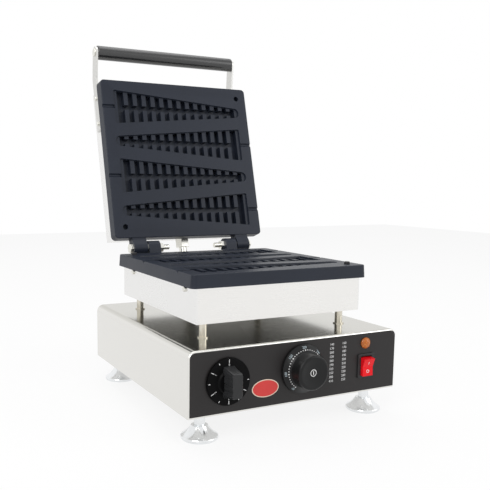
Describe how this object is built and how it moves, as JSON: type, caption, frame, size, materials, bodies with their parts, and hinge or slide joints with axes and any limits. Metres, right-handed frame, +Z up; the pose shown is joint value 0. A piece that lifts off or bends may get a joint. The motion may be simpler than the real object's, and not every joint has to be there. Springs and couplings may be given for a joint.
{
  "type": "waffle stick maker",
  "caption": "Countertop waffle stick maker: a stainless base with timer, thermostat and switch carries hinged ribbed mould plates with a lift-up lid.",
  "frame": {"origin": "on the counter, under the middle of the part's overall box with the lid open", "axes": "+X to the user's right, +Y to the back where the hinge is, +Z up; the lid stands open"},
  "size_m": [0.3, 0.4478, 0.5096],
  "materials": {
    "stainless_sheet": "folded stainless sheet, fine brushed grain",
    "mould_casting": "cast aluminium with a dark blue-grey non-stick coat",
    "foot_chrome": "polished chrome",
    "post_nickel": "turned and nickelled",
    "bright_zinc": "bright zinc plated",
    "black_steel": "blackened steel",
    "element_steel": "heat-stained steel tube",
    "mineral_fibre": "pressed mineral fibre",
    "conduit_steel": "ribbed metal hose",
    "black_nylon": "moulded nylon",
    "white_ceramic": "unglazed ceramic",
    "printed_overlay": "satin black printed sheet",
    "unit_case": "plated steel case",
    "spindle_steel": "turned steel",
    "knob_black": "moulded black plastic with a soft sheen",
    "lens_orange": "clear orange lens",
    "rocker_red": "glossy red plastic",
    "bracket_steel": "flat steel bar",
    "grip_black": "glossy black moulded grip"
  },
  "bodies": {
    "base": {"base_housing": "stainless_sheet", "bottom_cover": "stainless_sheet", "cover_screws": "bright_zinc", "foot_front_left": "foot_chrome", "foot_front_right": "foot_chrome", "foot_rear_left": "foot_chrome", "foot_rear_right": "foot_chrome", "foot_nuts": "bright_zinc", "support_posts": "post_nickel", "post_nuts": "bright_zinc", "lower_box": "stainless_sheet", "lower_box_side_left": "stainless_sheet", "lower_box_side_right": "stainless_sheet", "lower_box_screws": "bright_zinc", "lower_mould_plate": "mould_casting", "locating_pins": "black_steel", "hinge_bolts": "bright_zinc", "hinge_nuts": "bright_zinc", "hinge_washers": "bright_zinc", "lower_heater": "element_steel", "lower_insulation": "mineral_fibre", "thermostat_bulb": "element_steel", "base_gland": "bright_zinc", "conduit": "conduit_steel", "mains_gland": "black_nylon", "terminal_block": "white_ceramic", "control_overlay": "printed_overlay", "timer_unit": "unit_case", "thermostat_unit": "unit_case", "indicator_lens": "lens_orange", "indicator_body": "black_nylon", "switch_housing": "black_nylon"},
    "lid": {"upper_mould_plate": "mould_casting", "upper_box": "stainless_sheet", "upper_box_side_left": "stainless_sheet", "upper_box_side_right": "stainless_sheet", "upper_box_screws": "bright_zinc", "upper_heater": "element_steel", "upper_insulation": "mineral_fibre", "handle_bracket_left": "bracket_steel", "handle_bracket_right": "bracket_steel", "handle_grip": "grip_black", "grip_screws": "black_steel", "bracket_screws": "bright_zinc", "lid_gland": "bright_zinc"},
    "timer": {"timer_knob": "knob_black", "timer_spindle": "spindle_steel"},
    "thermostat": {"thermostat_knob": "knob_black", "thermostat_spindle": "spindle_steel"},
    "rocker": {"switch_rocker": "rocker_red"}
  },
  "joints": [
    {"name": "lid_hinge", "type": "hinge", "parent": "base", "child": "lid", "pos_m": [0, 0.10436, 0.198], "axis": [1, 0, 0], "range_deg": [0, 105], "deforming": ["conduit"]},
    {"name": "timer_turn", "type": "hinge", "parent": "base", "child": "timer", "pos_m": [-0.1, -0.19544, 0.073], "axis": [0, 1, 0], "range_deg": [0, 300]},
    {"name": "thermostat_turn", "type": "hinge", "parent": "base", "child": "thermostat", "pos_m": [0.003, -0.19544, 0.076], "axis": [0, 1, 0], "range_deg": [0, 270]},
    {"name": "switch_rock", "type": "hinge", "parent": "base", "child": "rocker", "pos_m": [0.1003, -0.19444, 0.0686], "axis": [-1, 0, 0], "range_deg": [0, 18]}
  ]
}
